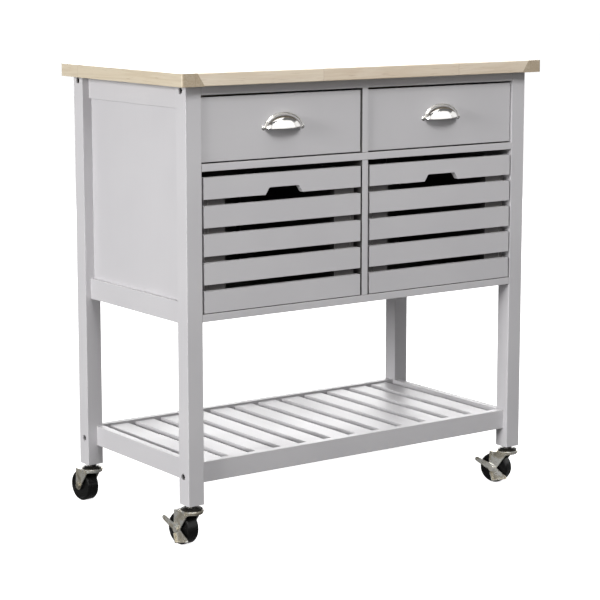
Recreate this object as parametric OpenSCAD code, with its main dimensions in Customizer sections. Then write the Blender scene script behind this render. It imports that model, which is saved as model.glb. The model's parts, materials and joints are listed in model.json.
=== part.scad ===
// Butcher block table on casters: two drawers over two pull-out crates, and a slatted shelf.
// +X runs along the front to the right, +Y to the back and +Z up. The wheels stand on z = 0.

/* [Worktop] */
// Overall width of the worktop
top_w = 886; // [730:1:1080]
// Overall depth of the worktop
top_d = 460; // [380:1:560]
// Height of the worktop's upper face above the floor
table_h = 914; // [860:1:1100]
// Thickness of the worktop
top_t = 25; // [18:0.5:40]
// Width of an end cap at the upper face
cap_upper_w = 34; // [25:1:40]
// Width of an end cap at the lower face, where the slanted joint ends
cap_lower_w = 50; // [41:1:60]
// Radius of the worktop's upright corners
top_corner_r = 4; // [1:0.5:10]
// Worktop overhang past the legs at each side
side_overhang = 22; // [5:1:40]
// Worktop overhang past the front legs
front_overhang = 24; // [5:1:40]
// Worktop overhang past the back legs
back_overhang = 12; // [5:1:40]

/* [Legs and rails] */
// Width of a square leg
leg_w = 35; // [32:1:42]
// Radius of the legs' long edges
leg_edge_r = 1.5; // [0.5:0.5:3]
// Thickness of the upright rails of the cabinet
rail_t = 18; // [16:0.5:22]
// Thickness of the flat front and back top rails
flat_rail_t = 18; // [16:0.5:24]
// Height of a side top rail
side_top_rail_h = 44.5; // [40:0.5:60]
// Setback of a side top rail from the legs' outer face
side_top_rail_in = 15; // [13:0.5:16]
// Height of the side and back low rails
low_rail_h = 42; // [38:0.5:60]
// Setback of a side low rail from the legs' outer face
side_low_rail_in = 12; // [10:0.5:16]
// How far the low rails hang below the bottom panel
low_rail_drop = 6.5; // [0:0.5:12]
// Setback of the back low rail from the back legs' face
back_low_rail_in = 3; // [2:0.5:4]
// Thickness of a side panel and of the back panel
panel_t = 5; // [4:0.5:6]
// Setback of a side panel from the legs' outer face
side_panel_in = 21; // [19:0.5:23]
// Setback of the back panel from the back legs' face
back_panel_in = 6; // [5:0.5:7]
// How far the panels reach into their grooves
groove_depth = 6; // [3:0.5:7]
// Clearance round a panel in its groove
groove_fit = 0.2; // [0.1:0.1:0.4]

/* [Cabinet] */
// Thickness of the shelf panel, the bottom panel and the two dividers
board_t = 15; // [12:0.5:20]
// Gap above a drawer front
drawer_upper_gap = 4; // [2:0.5:6]
// Height of a drawer front
drawer_front_h = 122.5; // [100:0.5:150]
// Gap under a drawer front
drawer_lower_gap = 2; // [1:0.5:4]
// Gap above a crate
crate_upper_gap = 11.5; // [6:0.5:20]
// Gap under a crate
crate_lower_gap = 1.5; // [1:0.5:4]

/* [Drawers] */
// Thickness of a drawer front
drawer_front_t = 16; // [12:0.5:20]
// Setback of a drawer front from the front legs' face
drawer_front_in = 4; // [1:0.5:8]
// Gap at each end of a drawer front
drawer_end_gap = 1.5; // [1:0.5:3]
// Space for the runner beside a drawer box
runner_space = 14.5; // [12:0.5:20]
// Thickness of the drawer sides and backs
drawer_side_t = 12; // [11:0.5:15]
// Height of the drawer sides
drawer_side_h = 96; // [70:1:110]
// Height of the drawer box above its front's lower edge
drawer_box_up = 6; // [3:1:10]
// Thickness of the drawer bottom
drawer_bottom_t = 5; // [3:0.5:6]
// Height of the drawer bottom above the lower edge of the sides
drawer_bottom_up = 8; // [6:1:12]
// Space behind a closed drawer or crate
box_back_gap = 30; // [15:1:60]
// Height of a drawer runner
runner_h = 12; // [8:0.5:16]
// How far a runner reaches into the drawer side
runner_reach = 6; // [4:0.5:7]
// Clearance of a runner in its groove, on each face
runner_fit = 0.5; // [0.3:0.1:1]

/* [Cup pulls] */
// Width of the round arch that the cup is turned from
pull_w = 84; // [60:1:110]
// Height of the cup at its middle
pull_h = 32; // [24:1:40]
// How far the cup's turning axis lies behind the drawer front
pull_sink = 8; // [2:0.5:10]
// Wall of the cup
pull_wall = 1.6; // [1:0.1:2.5]
// Width of the rim that lies on the drawer front
pull_rim_w = 3.5; // [2:0.5:6]
// Thickness of the rim
pull_rim_t = 2; // [1:0.5:3]
// Radius of a screw ear
pull_ear_r = 5; // [4.5:0.5:8]
// Height of the pull's middle above the drawer front's middle
pull_up = 8; // [0:1:15]
// Radius of a pull screw's shank
pull_screw_r = 1.5; // [1:0.1:1.8]
// Length of a pull screw under its head
pull_screw_l = 13; // [8:1:16]

/* [Crates] */
// Height of a front slat
crate_slat_h = 41.5; // [30:0.5:50]
// Gap between two front slats
crate_slat_gap = 12.9; // [6:0.1:20]
// Thickness of a front slat
crate_slat_t = 12; // [9:0.5:16]
// Gap at each end of a crate's front
crate_end_gap = 4; // [2:0.5:6]
// How far the front slats pass the crate's sides
crate_slat_lip = 7.5; // [3:0.5:10]
// Thickness of the side boards and the back board
crate_side_t = 9; // [6:0.5:12]
// Drop of the side boards below the top slat's upper edge
crate_side_drop = 6; // [2:1:20]
// Width of a corner post
post_w = 39; // [20:1:50]
// Thickness of a corner post
post_t = 15; // [10:1:20]
// Thickness of a crate's bottom
crate_bottom_t = 6; // [4:0.5:10]
// Width of the finger notch at the slat's lower edge
notch_w = 88; // [50:1:110]
// Width of the finger notch at its upper edge
notch_inner_w = 70; // [30:1:90]
// Depth of the finger notch
notch_h = 14; // [8:0.5:20]
// Radius in the notch's upper corners
notch_r = 6; // [2:0.5:7]
// Clearance between a crate and its guides
guide_fit = 1; // [0.5:0.5:3]
// Clearance between a crate's side boards and the bottom panel
glide_fit = 0.4; // [0.3:0.1:1]
// Height of a crate guide
guide_h = 14; // [8:1:25]
// Travel of the drawers and crates
pull_out = 280; // [200:10:300]

/* [Lower shelf] */
// Height of the shelf rails' lower edge above the floor
shelf_z = 124; // [110:1:250]
// Height of the shelf rails
shelf_rail_h = 40.5; // [36:0.5:60]
// Thickness of the shelf rails
shelf_rail_t = 16; // [14:0.5:20]
// Setback of the front and back shelf rails from the legs' face
shelf_long_in = 12; // [9:0.5:12]
// Setback of the side shelf rails from the legs' outer face
shelf_side_in = 21; // [10:0.5:22]
// Width of a shelf slat
slat_w = 44; // [30:1:55]
// Thickness of a shelf slat
slat_t = 10; // [6:0.5:14]
// Drop of the slats below the rails' upper edge
slat_drop = 3.5; // [1:0.5:8]
// Side of the square cleats under the slats
cleat_w = 14; // [10:1:20]
// Clearance at the slats' ends
slat_fit = 0.5; // [0.2:0.1:1]

/* [Fasteners] */
// Radius of a barrel bolt's shank
bolt_r = 3; // [2:0.5:4]
// Length of a barrel bolt under its head
bolt_l = 70; // [55:1:90]
// Radius of a barrel bolt's head
bolt_head_r = 6; // [5:0.5:7]
// Height of a barrel bolt's head
bolt_head_h = 5; // [3:0.5:6]
// Depth of a barrel bolt's head below the leg's face
bolt_sink = 3; // [0.5:0.5:5]
// Height of the lower bolts above the shelf rails' lower edge
bolt_up = 15.5; // [12:0.5:20]
// Radius of a cross dowel
cross_r = 5; // [4:0.5:6]
// Distance of a cross dowel from the rail's end
cross_in = 32; // [20:1:40]
// Radius of a wood dowel
dowel_r = 4; // [3:0.5:5]
// Depth of a wood dowel in each piece
dowel_in = 12; // [8:1:14]
// Radius of a worktop screw's shank
screw_r = 2; // [1.5:0.1:3]
// Depth of a worktop screw in the slab
screw_in = 15; // [8:1:17]
// Clearance of shanks and dowels in their holes
hole_fit = 0.1; // [0.05:0.05:0.3]

/* [Casters] */
// Diameter of a wheel
wheel_d = 64; // [48:1:70]
// Width of a wheel's tread
wheel_w = 26; // [16:1:28]
// Bevel at the edges of the tread
tread_edge = 3; // [1:0.5:4]
// Swivel offset from the stem to the axle
trail = 26; // [24:1:32]
// Space between the wheel and the fork's crown
wheel_gap = 2; // [1.5:0.5:6]
// Height of the fork's crown
crown_h = 7; // [5:0.5:10]
// Radius of the fork's crown
crown_r = 23; // [21:0.5:25]
// Thickness of the fork's sheet
fork_t = 2.5; // [1.5:0.5:3]
// Gap between the upper and lower raceway
race_gap = 0.5; // [0.3:0.1:1]
// Height of the upper raceway plate
race_h = 5.5; // [4:0.5:8]
// Radius of the upper raceway plate
race_r = 21; // [17:0.5:24]
// Thickness of the stem nut
nut_h = 5; // [4:0.5:8]
// Radius over the stem nut's corners
nut_r = 10; // [8:0.5:14]
// Radius of the stem
stem_r = 5; // [4:0.5:6]
// Length of the stem inside the leg
stem_l = 38; // [25:1:45]
// Radius of the kingpin
king_r = 4.5; // [3:0.5:6]
// Radius of the axle
axle_r = 4; // [3:0.5:5]
// Running clearance of the kingpin and the axle
run_fit = 0.07; // [0.03:0.01:0.1]
// Clearance between parts that turn past each other
turn_gap = 0.5; // [0.3:0.1:1]
// Thickness of the brake lever's sheet
lever_t = 1.8; // [1:0.1:2.5]
// Reach of the brake lever's pedal from the axle
pedal_reach = 41; // [36:1:54]
// Rise of the pedal above the axle
pedal_rise = 16; // [10:1:22]
// Radius of the pedal's end
pedal_r = 5; // [4:0.5:6]
// Width of the lip along the lever's lower edges
lever_lip = 4; // [2:0.5:6]
// Swivel of the front left caster from trailing straight back, in degrees
front_left_turn = 7; // [0:1:45]
// Swivel of the front right caster, in degrees
front_right_turn = 22; // [0:1:45]
// Swivel of both back casters, in degrees
back_turn = 5; // [0:1:45]

/* [Hidden] */
$fn = 48;

// Legs
leg_x = top_w / 2 - side_overhang;
inner_x = leg_x - leg_w;
front_y = front_overhang - top_d / 2;
back_y = top_d / 2 - back_overhang;
front_in_y = front_y + leg_w;
back_in_y = back_y - leg_w;
caster_h = wheel_d + wheel_gap + crown_h + race_gap + race_h + nut_h;
frame_z = table_h - top_t;

// The origin is below the middle of the outline, which the back wheels reach past the worktop
tail_reach = (trail + wheel_d / 2) * cos(back_turn) + (wheel_w / 2 - tread_edge) * sin(back_turn);
tail_y = max(top_d / 2, back_y - leg_w / 2 + tail_reach);
mid_y = (tail_y - top_d / 2) / 2;

// Cabinet levels, from the top down
drawer_top_z = frame_z - flat_rail_t - drawer_upper_gap;
drawer_z = drawer_top_z - drawer_front_h;
shelf_panel_z = drawer_z - drawer_lower_gap - board_t;
crate_slats = 5;
crate_h = crate_slats * crate_slat_h + (crate_slats - 1) * crate_slat_gap;
crate_top_z = shelf_panel_z - crate_upper_gap;
crate_z = crate_top_z - crate_h;
bottom_panel_z = crate_z - crate_lower_gap - board_t;
low_rail_z = bottom_panel_z - low_rail_drop;
side_top_rail_z = frame_z - side_top_rail_h;
flat_rail_z = frame_z - flat_rail_t;

// Cabinet depth
back_rail_y = back_y - back_low_rail_in - rail_t;
back_panel_y = back_y - back_panel_in - panel_t;
box_back_y = back_rail_y - box_back_gap;

// Bays
bay_w = inner_x - board_t / 2;
bay_x = (inner_x + board_t / 2) / 2;

// Drawers
drawer_front_w = bay_w - 2 * drawer_end_gap;
drawer_front_y = front_y + drawer_front_in;
drawer_box_y = drawer_front_y + drawer_front_t;
drawer_box_w = bay_w - 2 * runner_space;
drawer_box_z = drawer_z + drawer_box_up;
drawer_floor_z = drawer_box_z + drawer_bottom_up;
drawer_floor_in = drawer_side_t / 3;
runner_z = drawer_box_z + drawer_side_h / 2;
pull_z = drawer_z + drawer_front_h / 2 + pull_up - pull_h / 2;
pull_ear_x = pull_w / 2 + pull_rim_w;

// Crates
crate_front_w = bay_w - 2 * crate_end_gap;
crate_w = crate_front_w - 2 * crate_slat_lip;
crate_side_y = front_y + crate_slat_t;
crate_side_h = crate_h - crate_side_drop;
crate_in_w = crate_w - 2 * crate_side_t;
crate_foot_z = bottom_panel_z + board_t + glide_fit;

// Lower shelf
shelf_front_y = front_y + shelf_long_in;
shelf_back_y = back_y - shelf_long_in - shelf_rail_t;
shelf_side_x = leg_x - shelf_side_in - shelf_rail_t;
slat_y = shelf_front_y + shelf_rail_t + slat_fit;
slat_l = shelf_back_y - slat_fit - slat_y;
slat_z = shelf_z + shelf_rail_h - slat_drop - slat_t;
slat_n = 12;
slat_space = (2 * shelf_side_x - slat_n * slat_w) / (slat_n + 1);

// Fasteners
bolt_seat = bolt_sink + bolt_head_h;
upper_bolt_z = flat_rail_z + flat_rail_t / 2;
lower_bolt_z = shelf_z + bolt_up;
front_bolt_y = shelf_front_y + shelf_rail_t / 2;
back_bolt_y = shelf_back_y + shelf_rail_t / 2;
cross_l = 12;
dowel_hole_end = 0.5;

// The boards' dowels stop short of the grooves for the side panels
board_dowel_in = leg_w - side_panel_in - panel_t - groove_fit - dowel_hole_end - 0.3;
top_screw_x = inner_x - bolt_l - 16;
top_screw_head_r = 2 * screw_r;

// Casters, from the leg down
race_z = caster_h - nut_h - race_h;
crown_z = wheel_d + wheel_gap;
axle_z = wheel_d / 2;
cheek_x = wheel_w / 2 + 2;
axle_head_h = 2.5;
hub_r = axle_r + 4.5;
wheel_dish = 2;
hub_stand = 1.2;
fork_back = trail + hub_r - 1;
crown_plate_t = fork_t + 1;
bend_r = 10;
bend_y = -10.8;
bend_z = crown_z - bend_r - 1.1;
lever_x = cheek_x + fork_t + turn_gap;

// Corners of the lever's lower arm about the axle, as [y, z]: heel, corner and toe
LEVER_HEEL = [3.5, -8];
LEVER_SOLE = [-2, -27];
LEVER_TOE = [-36, -18];
// Run of the lever's front end, up from its toe
LEVER_TIP = [2, 4];

// Every bolt's line: [x side, y, z]
BOLTS = [
    for (sx = [-1, 1])
        for (p = [
            [front_y + leg_w / 2, upper_bolt_z],
            [back_y - leg_w / 2, upper_bolt_z],
            [front_bolt_y, lower_bolt_z],
            [back_bolt_y, lower_bolt_z]
        ])
            [sx, p[0], p[1]]
];

// Dowels that run front to back in the side rails: [distance from the centre plane, height]
SIDE_DOWELS = [
    [leg_x - side_top_rail_in - rail_t / 2, side_top_rail_z + 10],
    [leg_x - side_top_rail_in - rail_t / 2, side_top_rail_z + 22],
    [leg_x - side_low_rail_in - dowel_r - 2, low_rail_z + 9],
    [leg_x - side_low_rail_in - dowel_r - 2, low_rail_z + 24],
    [shelf_side_x + shelf_rail_t / 2, shelf_z + 6.5],
    [shelf_side_x + shelf_rail_t / 2, shelf_z + 28]
];

// Dowels that run from side to side in the boards and the back low rail: [y, z]
CROSS_DOWELS = [
    [front_y + 12, shelf_panel_z + board_t / 2],
    [back_in_y + 8, shelf_panel_z + board_t / 2],
    [front_y + 12, bottom_panel_z + board_t / 2],
    [back_in_y + 8, bottom_panel_z + board_t / 2],
    [back_rail_y + rail_t / 2 + 2, low_rail_z + low_rail_h - groove_depth - dowel_r - 3],
    [back_rail_y + rail_t / 2 + 2, low_rail_z + low_rail_h - groove_depth - dowel_r - 19]
];

// Caster places: [x side, y of the stem]
FRONT_STEM_Y = front_y + leg_w / 2;
BACK_STEM_Y = back_y - leg_w / 2;
STEMS = [
    [-1, FRONT_STEM_Y],
    [1, FRONT_STEM_Y],
    [-1, BACK_STEM_Y],
    [1, BACK_STEM_Y]
];

WOOD = "#d9c7a3";
END_WOOD = "#c4ae86";
PAINT = "#c4c5c8";
PLY = "#c9b48c";
STEEL = "#b9bbbd";
BRASS = "#b6a668";
NICKEL = "#d8d8d6";
BLACK = "#161616";

// ---------- helpers ----------

// Moves the model so that its outline is centred on the origin
module row() {
    translate([0, -mid_y, 0]) children();
}

// Both sides of the centre plane
module both_sides() {
    for (side = [0, 1]) mirror([side, 0, 0]) children();
}

module box(low, high) {
    translate(low) cube(high - low);
}

// A rectangle with round corners, as exact arcs
module round_rect(w, d, r) {
    square([w - 2 * r, d], center = true);
    square([w, d - 2 * r], center = true);
    for (x = [-1, 1], y = [-1, 1])
        translate([x * (w / 2 - r), y * (d / 2 - r)]) circle(r);
}

// A cylinder along X that starts at x0
module x_rod(r, x0, l, y, z) {
    translate([x0, y, z]) rotate([0, 90, 0]) cylinder(r = r, h = l);
}

// A cylinder along Y that starts at y0
module y_rod(r, y0, l, x, z) {
    translate([x, y0, z]) rotate([-90, 0, 0]) cylinder(r = r, h = l);
}

// ---------- worktop ----------

module worktop_outline() {
    translate([0, 0, frame_z]) linear_extrude(top_t) round_rect(top_w, top_d, top_corner_r);
}

// Section of the slab, from side to side
module slab_section() {
    polygon([
        [-(top_w / 2 - cap_lower_w), 0],
        [top_w / 2 - cap_lower_w, 0],
        [top_w / 2 - cap_upper_w, top_t],
        [-(top_w / 2 - cap_upper_w), top_t]
    ]);
}

module slab_prism(l) {
    translate([0, l / 2, frame_z]) rotate([90, 0, 0]) linear_extrude(l) slab_section();
}

module top_slab() {
    color(WOOD) difference() {
        slab_prism(top_d);
        for (x = [-1, -1/3, 1/3, 1], y = [FRONT_STEM_Y, BACK_STEM_Y])
            translate([x * top_screw_x, y, frame_z - 1])
                cylinder(r = screw_r + hole_fit, h = screw_in + 2);
    }
}

module top_end_caps() {
    color(END_WOOD) difference() {
        worktop_outline();
        slab_prism(top_d + 2);
    }
}

// ---------- frame ----------

// Bolt bores and head seats of one leg, with the leg's outer face at leg_x
module leg_bolt_bores(y, z) {
    x_rod(bolt_r + 2 * hole_fit, inner_x - 1, leg_w + 2, y, z);
    x_rod(bolt_head_r + 2 * hole_fit, leg_x - bolt_seat, bolt_seat + 1, y, z);
}

module leg(at_front) {
    y0 = at_front ? front_y : back_in_y;
    bolt_y = at_front ? front_bolt_y : back_bolt_y;
    groove_y = at_front ? front_in_y : back_in_y;
    color(PAINT) difference() {
        translate([leg_x - leg_w / 2, y0 + leg_w / 2, caster_h])
            linear_extrude(frame_z - caster_h) round_rect(leg_w, leg_w, leg_edge_r);
        leg_bolt_bores(y0 + leg_w / 2, upper_bolt_z);
        leg_bolt_bores(bolt_y, lower_bolt_z);
        translate([leg_x - leg_w / 2, y0 + leg_w / 2, caster_h - 1])
            cylinder(r = stem_r + hole_fit, h = stem_l + 2);
        side_panel_space();
        if (!at_front) back_panel_space();
        for (p = SIDE_DOWELS) side_dowel_space(p, groove_y);
        for (p = CROSS_DOWELS) cross_dowel_space(p);
    }
}

// The space of a side panel with its clearance, cut into the rails and legs
module side_panel_space() {
    x0 = leg_x - side_panel_in - panel_t;
    box(
        [x0 - groove_fit, front_in_y - groove_depth, low_rail_z + low_rail_h - groove_depth],
        [x0 + panel_t + groove_fit, back_in_y + groove_depth, side_top_rail_z + groove_depth]
    );
}

module back_panel_space() {
    box(
        [-inner_x - groove_depth, back_panel_y - groove_fit,
            low_rail_z + low_rail_h - groove_depth],
        [inner_x + groove_depth, back_panel_y + panel_t + groove_fit, flat_rail_z + groove_depth]
    );
}

// Hole for a dowel between a side rail and a leg, whose joint lies at y
module side_dowel_space(p, y) {
    half = dowel_in + dowel_hole_end;
    y_rod(dowel_r + hole_fit, y - half, 2 * half, p[0], p[1]);
}

// Hole for a dowel between a board and the leg on the +X side
module cross_dowel_space(p) {
    half = board_dowel_in + dowel_hole_end;
    x_rod(dowel_r + hole_fit, inner_x - half, 2 * half, p[0], p[1]);
}

module side_rail(x_in, z0, h, t) {
    difference() {
        box([leg_x - x_in - t, front_in_y, z0], [leg_x - x_in, back_in_y, z0 + h]);
        for (p = SIDE_DOWELS, y = [front_in_y, back_in_y])
            if (p[1] > z0 && p[1] < z0 + h) side_dowel_space(p, y);
        side_panel_space();
    }
}

module side_top_rails() {
    color(PAINT) both_sides()
        side_rail(side_top_rail_in, side_top_rail_z, side_top_rail_h, rail_t);
}

module side_low_rails() {
    color(PAINT) both_sides() side_rail(side_low_rail_in, low_rail_z, low_rail_h, rail_t);
}

module side_panels() {
    x0 = leg_x - side_panel_in - panel_t;
    slack = 2 * groove_fit;
    color(PAINT) both_sides() box(
        [x0, front_in_y - groove_depth + slack, low_rail_z + low_rail_h - groove_depth + slack],
        [x0 + panel_t, back_in_y + groove_depth - slack, side_top_rail_z + groove_depth - slack]
    );
}

// Bore for a bolt in the +X end of a long rail, with the cross dowel's hole turned by drill
module rail_bolt_space(y, z, drill) {
    x_rod(bolt_r + 2 * hole_fit, leg_x - bolt_seat - bolt_l - 1, bolt_l, y, z);
    translate([inner_x - cross_in, y, z]) rotate([drill, 0, 0])
        translate([0, 0, -cross_l / 2]) cylinder(r = cross_r + hole_fit, h = 4 * cross_l);
}

module flat_top_rail(y0, depth) {
    y = y0 + depth / 2;
    difference() {
        box([-inner_x, y0, flat_rail_z], [inner_x, y0 + depth, frame_z]);
        both_sides() rail_bolt_space(y, upper_bolt_z, 180);
        for (x = [-1, -1/3, 1/3, 1]) translate([x * top_screw_x, y, flat_rail_z - 1]) {
            cylinder(r = screw_r + hole_fit, h = flat_rail_t + 2);
            cylinder(r = top_screw_head_r + hole_fit, h = 1 + top_screw_head_r);
        }
    }
}

module front_top_rail() {
    color(PAINT) flat_top_rail(front_y, leg_w);
}

module back_rails() {
    color(PAINT) difference() {
        union() {
            flat_top_rail(back_in_y, leg_w);
            difference() {
                box([-inner_x, back_rail_y, low_rail_z],
                    [inner_x, back_rail_y + rail_t, low_rail_z + low_rail_h]);
                both_sides() for (p = CROSS_DOWELS) cross_dowel_space(p);
            }
        }
        back_panel_space();
    }
}

module back_panel() {
    slack = 2 * groove_fit;
    color(PLY) box(
        [-inner_x - groove_depth + slack, back_panel_y,
            low_rail_z + low_rail_h - groove_depth + slack],
        [inner_x + groove_depth - slack, back_panel_y + panel_t,
            flat_rail_z + groove_depth - slack]
    );
}

// ---------- cabinet ----------

module level_board(z0) {
    difference() {
        box([-inner_x, front_y, z0], [inner_x, back_rail_y, z0 + board_t]);
        both_sides() for (p = CROSS_DOWELS)
            if (p[1] > z0 && p[1] < z0 + board_t) cross_dowel_space(p);
    }
}

module shelf_panel() {
    color(PAINT) level_board(shelf_panel_z);
}

module bottom_panel() {
    color(PAINT) level_board(bottom_panel_z);
}

module divider(z0, z1) {
    box([-board_t / 2, front_y, z0], [board_t / 2, back_rail_y, z1]);
}

module drawer_divider() {
    color(PAINT) divider(shelf_panel_z + board_t, flat_rail_z);
}

module crate_divider() {
    color(PAINT) divider(bottom_panel_z + board_t, shelf_panel_z);
}

// One runner on each wall of both bays
module drawer_runners() {
    reach = runner_space + runner_reach;
    y0 = drawer_box_y + 2;
    color(PLY) both_sides() for (x0 = [board_t / 2, inner_x - reach])
        box([x0, y0, runner_z - runner_h / 2], [x0 + reach, back_rail_y - 1, runner_z + runner_h / 2]);
}

module crate_guides() {
    w = crate_end_gap + crate_slat_lip - guide_fit;
    z0 = bottom_panel_z + board_t;
    color(PLY) both_sides() for (x0 = [board_t / 2, inner_x - w])
        box([x0, crate_side_y + 2, z0], [x0 + w, back_rail_y - 1, z0 + guide_h]);
}

// ---------- lower shelf ----------

// The cross dowels of the shelf rails go in from the rails' inner faces
module shelf_long_rails() {
    color(PAINT) for (rail = [[shelf_front_y, 1], [shelf_back_y, -1]]) difference() {
        box([-inner_x, rail[0], shelf_z], [inner_x, rail[0] + shelf_rail_t, shelf_z + shelf_rail_h]);
        both_sides() rail_bolt_space(rail[0] + shelf_rail_t / 2, lower_bolt_z, -90 * rail[1]);
    }
}

module shelf_side_rails() {
    color(PAINT) both_sides() side_rail(shelf_side_in, shelf_z, shelf_rail_h, shelf_rail_t);
}

// Each cleat lies against the inner face of a long rail, under the slats' ends
module shelf_cleats() {
    cleat_x = inner_x - cross_in - cross_r - 6;
    color(PAINT) for (y0 = [shelf_front_y + shelf_rail_t, shelf_back_y - cleat_w])
        box([-cleat_x, y0, slat_z - cleat_w], [cleat_x, y0 + cleat_w, slat_z]);
}

module shelf_slats() {
    color(PAINT) for (i = [0 : slat_n - 1])
        translate([-shelf_side_x + slat_space + i * (slat_w + slat_space), slat_y, slat_z])
            cube([slat_w, slat_l, slat_t]);
}

// ---------- fasteners ----------

module barrel_bolts() {
    color(STEEL) for (b = BOLTS) mirror([b[0] < 0 ? 1 : 0, 0, 0]) difference() {
        union() {
            x_rod(bolt_r, leg_x - bolt_seat - bolt_l, bolt_l, b[1], b[2]);
            x_rod(bolt_head_r, leg_x - bolt_seat, bolt_head_h, b[1], b[2]);
        }
        translate([leg_x - bolt_seat + 1.5, b[1], b[2]]) rotate([0, 90, 0])
            cylinder(r = bolt_r - 0.2, h = bolt_head_h, $fn = 6);
    }
}

module cross_dowels() {
    color(BRASS) for (b = BOLTS) mirror([b[0] < 0 ? 1 : 0, 0, 0])
        difference() {
            translate([inner_x - cross_in, b[1], b[2]])
                rotate([b[2] > low_rail_z ? 0 : 90, 0, 0])
                    cylinder(r = cross_r, h = cross_l - 0.4, center = true);
            x_rod(bolt_r + hole_fit, inner_x - cross_in - 10, 20, b[1], b[2]);
        }
}

module wood_dowels() {
    color(WOOD) both_sides() {
        for (p = SIDE_DOWELS, y = [front_in_y, back_in_y])
            y_rod(dowel_r, y - dowel_in, 2 * dowel_in, p[0], p[1]);
        for (p = CROSS_DOWELS)
            x_rod(dowel_r, inner_x - board_dowel_in, 2 * board_dowel_in, p[0], p[1]);
    }
}

module top_screws() {
    color(STEEL) for (x = [-1, -1/3, 1/3, 1], y = [FRONT_STEM_Y, BACK_STEM_Y])
        translate([x * top_screw_x, y, flat_rail_z]) {
            cylinder(r = screw_r, h = flat_rail_t + screw_in);
            cylinder(r1 = top_screw_head_r, r2 = screw_r, h = top_screw_head_r);
        }
}

// ---------- drawers, drawn for the right-hand bay ----------

module drawer_front() {
    color(PAINT) difference() {
        translate([bay_x - drawer_front_w / 2, drawer_front_y, drawer_z])
            cube([drawer_front_w, drawer_front_t, drawer_front_h]);
        for (sx = [-1, 1])
            y_rod(pull_screw_r + hole_fit, drawer_front_y - 1, pull_screw_l,
                bay_x + sx * pull_ear_x, pull_z + pull_ear_r);
    }
}

// Groove that takes the drawer bottom, on the inside of the sides, back and front
module drawer_bottom_space() {
    w = drawer_box_w - 2 * drawer_side_t + 2 * drawer_floor_in;
    translate([bay_x - w / 2, drawer_box_y - 1, drawer_floor_z - groove_fit])
        cube([w, box_back_y - drawer_box_y + 2, drawer_bottom_t + 2 * groove_fit]);
}

module drawer_sides() {
    side_l = box_back_y - drawer_box_y;
    color(PLY) difference() {
        for (x0 = [bay_x - drawer_box_w / 2, bay_x + drawer_box_w / 2 - drawer_side_t])
            translate([x0, drawer_box_y, drawer_box_z]) cube([drawer_side_t, side_l, drawer_side_h]);
        drawer_bottom_space();
        for (sx = [-1, 1])
            translate([bay_x + sx * drawer_box_w / 2, drawer_box_y + side_l / 2, runner_z])
                cube([2 * (runner_reach + runner_fit), side_l + 2, runner_h + 2 * runner_fit],
                    center = true);
    }
}

// The back stands on the drawer bottom
module drawer_back() {
    w = drawer_box_w - 2 * drawer_side_t;
    z0 = drawer_floor_z + drawer_bottom_t;
    color(PLY) translate([bay_x - w / 2, box_back_y - drawer_side_t, z0])
        cube([w, drawer_side_t, drawer_box_z + drawer_side_h - z0]);
}

module drawer_bottom() {
    w = drawer_box_w - 2 * drawer_side_t + 2 * drawer_floor_in - 2 * groove_fit;
    color(PLY) translate([bay_x - w / 2, drawer_box_y, drawer_floor_z])
        cube([w, box_back_y - drawer_box_y, drawer_bottom_t]);
}

// Radius of the arch whose chord is the pull's width and whose rise is its height
function arch_r(half_w, rise) = (half_w * half_w + rise * rise) / (2 * rise);

// An arch over the X axis, as tall as rise
module arch(half_w, rise) {
    r = arch_r(half_w, rise);
    intersection() {
        translate([0, rise - r]) circle(r, $fn = 96);
        translate([-half_w - 1, 0]) square([2 * half_w + 2, rise + 1]);
    }
}

// A full turn of an arch about the pull's long axis, which lies behind the drawer front
module cup_turn(half_w, rise) {
    translate([0, pull_sink, 0]) rotate([0, -90, 180]) rotate_extrude($fn = 96) rotate(-90)
        arch(half_w, rise);
}

// The flat rim on the drawer front, with an ear at each end
module pull_rim() {
    rotate([90, 0, 0]) linear_extrude(pull_rim_t) difference() {
        union() {
            arch(pull_w / 2 + pull_rim_w, pull_h + pull_rim_w);
            for (sx = [-1, 1]) translate([sx * pull_ear_x, pull_ear_r]) circle(pull_ear_r);
        }
        for (sx = [-1, 1])
            translate([sx * pull_ear_x, pull_ear_r]) circle(pull_screw_r + hole_fit);
    }
}

// A hollow cup, closed in front and above, and open below for the fingers
module drawer_pull() {
    far = pull_w + pull_h;
    color(NICKEL) translate([bay_x, drawer_front_y, pull_z]) difference() {
        union() {
            intersection() {
                cup_turn(pull_w / 2, pull_h);
                translate([-far / 2, -far, 0]) cube(far);
            }
            pull_rim();
        }
        cup_turn(pull_w / 2 - pull_wall, pull_h - pull_wall);
        translate([-far / 2, 0, -far / 2]) cube(far);
    }
}

module drawer_pull_screws() {
    color(STEEL) for (sx = [-1, 1])
        translate([bay_x + sx * pull_ear_x, drawer_front_y - pull_rim_t, pull_z + pull_ear_r])
            rotate([-90, 0, 0]) {
                cylinder(r = pull_screw_r, h = pull_screw_l);
                translate([0, 0, -1.2]) cylinder(r1 = 1.8, r2 = 2.8, h = 1.2);
            }
}

// ---------- crates, drawn for the right-hand bay ----------

// The finger notch, open at the slat's lower edge
module notch() {
    slope = (notch_w - notch_inner_w) / 2;
    difference() {
        polygon([
            [-notch_w / 2, 0], [notch_w / 2, 0],
            [notch_inner_w / 2, notch_h], [-notch_inner_w / 2, notch_h]
        ]);
        for (sx = [-1, 1]) mirror([sx < 0 ? 1 : 0, 0]) difference() {
            translate([notch_w / 2 - slope - notch_r, notch_h - notch_r])
                square([slope + notch_r, notch_r]);
            translate([notch_w / 2 - slope - notch_r / 2, notch_h - notch_r]) circle(notch_r);
            translate([notch_w / 2 - slope - notch_r, notch_h - notch_r])
                square([notch_r / 2, notch_r]);
        }
    }
    translate([-notch_w / 2, -1]) square([notch_w, 1.01]);
}

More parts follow.
